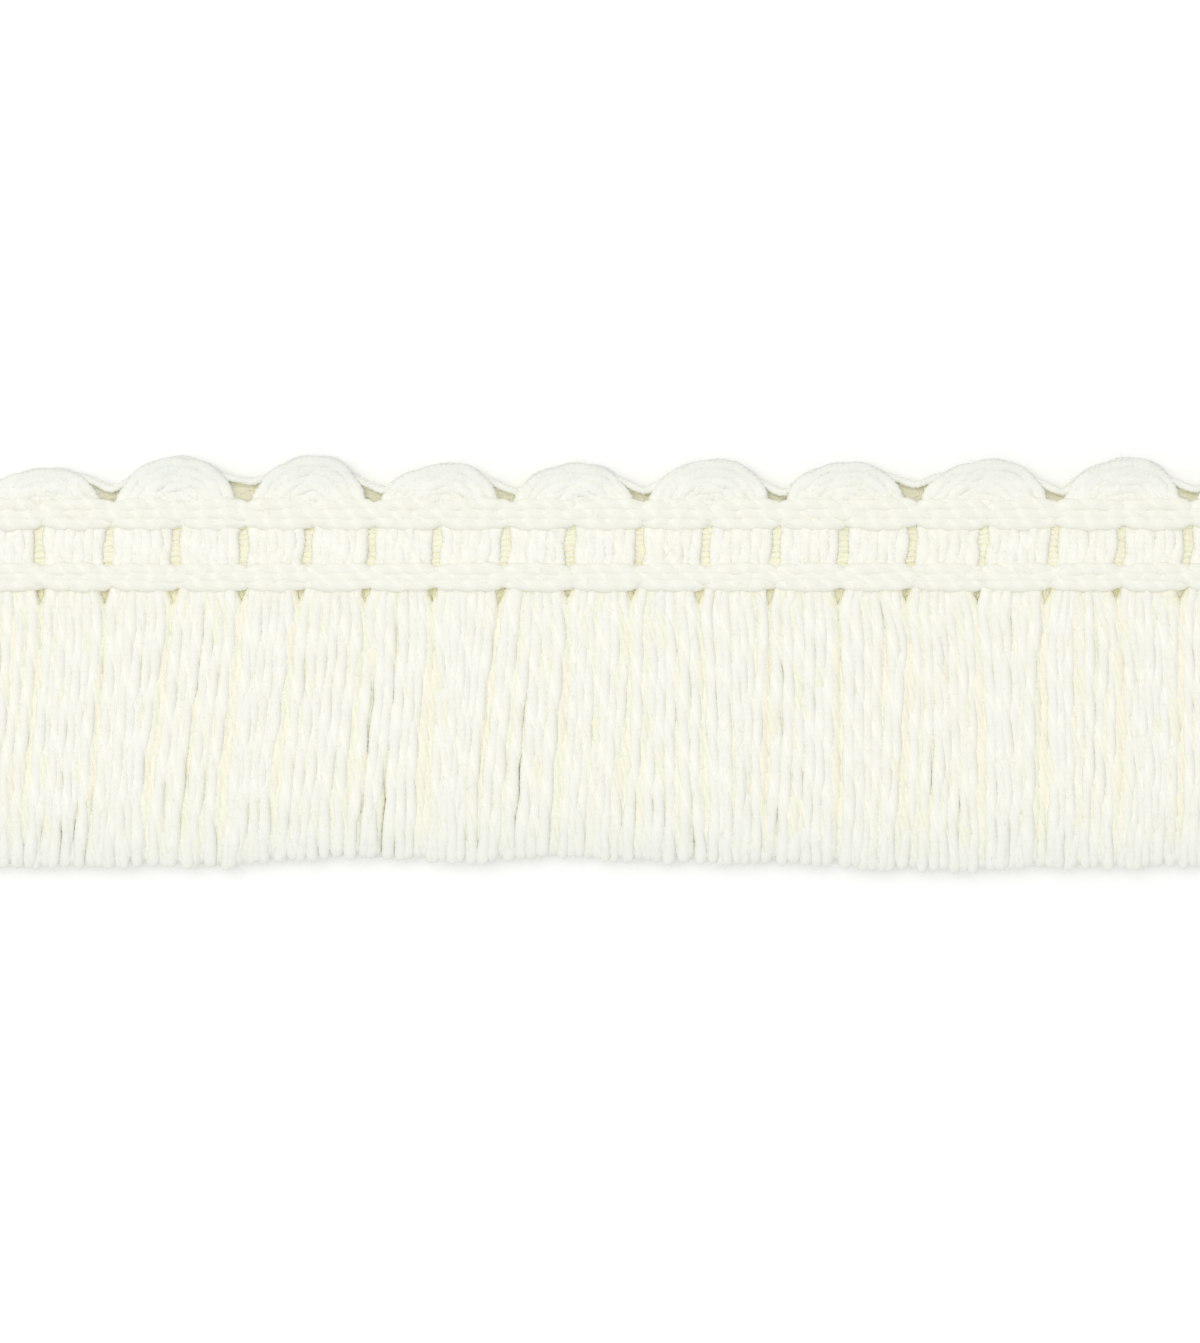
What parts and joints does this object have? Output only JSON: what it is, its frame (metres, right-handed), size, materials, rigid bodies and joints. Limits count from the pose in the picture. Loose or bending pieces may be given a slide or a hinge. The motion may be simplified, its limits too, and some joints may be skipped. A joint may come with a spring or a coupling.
{
  "type": "brush fringe trim",
  "caption": "Cut length of cream brush fringe with a scalloped, chain-stitched heading over a dense cut-yarn brush, lying flat face up.",
  "frame": {"origin": "centre of the trim's outline, on the surface that it lies on", "axes": "+X along the trim, +Y towards the scallops and away from the cut ends, +Z out of its face"},
  "size_m": [0.1074, 0.033, 0.0026],
  "materials": {
    "loop_yarn": "soft matt ivory cotton yarn, bundled",
    "chain_yarn": "matt ivory chain stitch",
    "brush_yarn": "soft matt ivory cut two-ply yarn"
  },
  "bodies": {
    "root": {"scallop_loop_01": "loop_yarn", "scallop_loop_02": "loop_yarn", "scallop_loop_03": "loop_yarn", "scallop_loop_04": "loop_yarn", "scallop_loop_05": "loop_yarn", "scallop_loop_06": "loop_yarn", "scallop_loop_07": "loop_yarn", "scallop_loop_08": "loop_yarn", "scallop_loop_09": "loop_yarn", "scallop_loop_10": "loop_yarn", "chain_row_upper": "chain_yarn", "chain_row_lower": "chain_yarn", "brush_fringe": "brush_yarn"}
  },
  "joints": []
}
